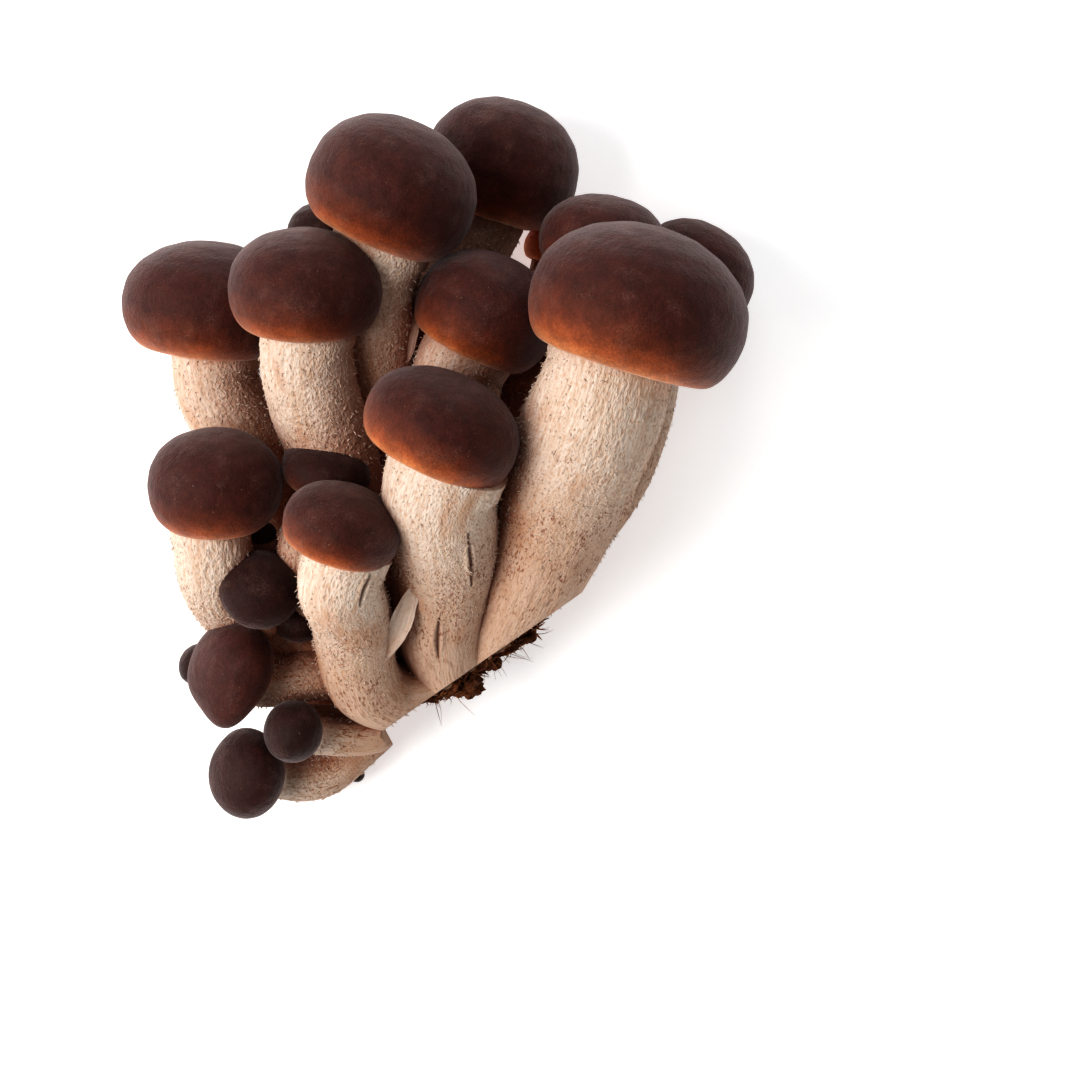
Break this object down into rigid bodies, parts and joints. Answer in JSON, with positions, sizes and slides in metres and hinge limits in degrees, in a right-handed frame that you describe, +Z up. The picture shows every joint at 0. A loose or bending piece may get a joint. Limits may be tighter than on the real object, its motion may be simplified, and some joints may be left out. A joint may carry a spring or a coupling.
{
  "type": "beech mushroom cluster",
  "caption": "Cluster of young dark brown capped mushrooms on thick pale stems that crowd together on one foot with a crust of wood chips, picked and lying on its back.",
  "frame": {"origin": "under the middle of the whole cluster, on the surface it lies on", "axes": "+Z up from the surface it lies on, +Y from the shared foot to the caps, +X to the right of somebody looking down with the caps at the top"},
  "size_m": [0.1034, 0.1182, 0.0647],
  "materials": {
    "cap_skin": "velvety, dark chocolate brown, paler and amber towards the rolled margin",
    "stem_flesh": "matt, fibrous and finely scaly, cream to beige",
    "substrate": "rough, damp, dark brown wood chips and fibres"
  },
  "bodies": {
    "root": {"behind_egg_cap": "cap_skin", "behind_egg_stem": "stem_flesh", "behind_giant_cap": "cap_skin", "behind_giant_stem": "stem_flesh", "broad_left_cap": "cap_skin", "broad_left_stem": "stem_flesh", "button_cap": "cap_skin", "button_stem": "stem_flesh", "dark_bud_cap": "cap_skin", "dark_bud_stem": "stem_flesh", "dark_button_cap": "cap_skin", "dark_button_stem": "stem_flesh", "egg_cap": "cap_skin", "egg_stem": "stem_flesh", "far_right_cap": "cap_skin", "far_right_stem": "stem_flesh", "far_top_cap": "cap_skin", "far_top_stem": "stem_flesh", "foot": "stem_flesh", "front_cap": "cap_skin", "front_small_cap": "cap_skin", "front_small_stem": "stem_flesh", "front_stem": "stem_flesh", "giant_cap": "cap_skin", "giant_stem": "stem_flesh", "hidden_bud_cap": "cap_skin", "hidden_bud_stem": "stem_flesh", "left_cap": "cap_skin", "left_stem": "stem_flesh", "lower_left_cap": "cap_skin", "lower_left_stem": "stem_flesh", "lowest_cap": "cap_skin", "lowest_stem": "stem_flesh", "middle_cap": "cap_skin", "middle_stem": "stem_flesh", "peeping_cap": "cap_skin", "peeping_stem": "stem_flesh", "pin_cap": "cap_skin", "pin_stem": "stem_flesh", "shaded_button_cap": "cap_skin", "shaded_button_stem": "stem_flesh", "side_bud_cap": "cap_skin", "side_bud_stem": "stem_flesh", "substrate_chip_right": "substrate", "substrate_clump_large": "substrate", "substrate_clump_low": "substrate", "substrate_crust": "substrate", "top_cap": "cap_skin", "top_left_cap": "cap_skin", "top_left_stem": "stem_flesh", "top_stem": "stem_flesh", "torn_flake": "stem_flesh", "torn_flap": "stem_flesh", "tucked_cap": "cap_skin", "tucked_stem": "stem_flesh"}
  },
  "joints": []
}
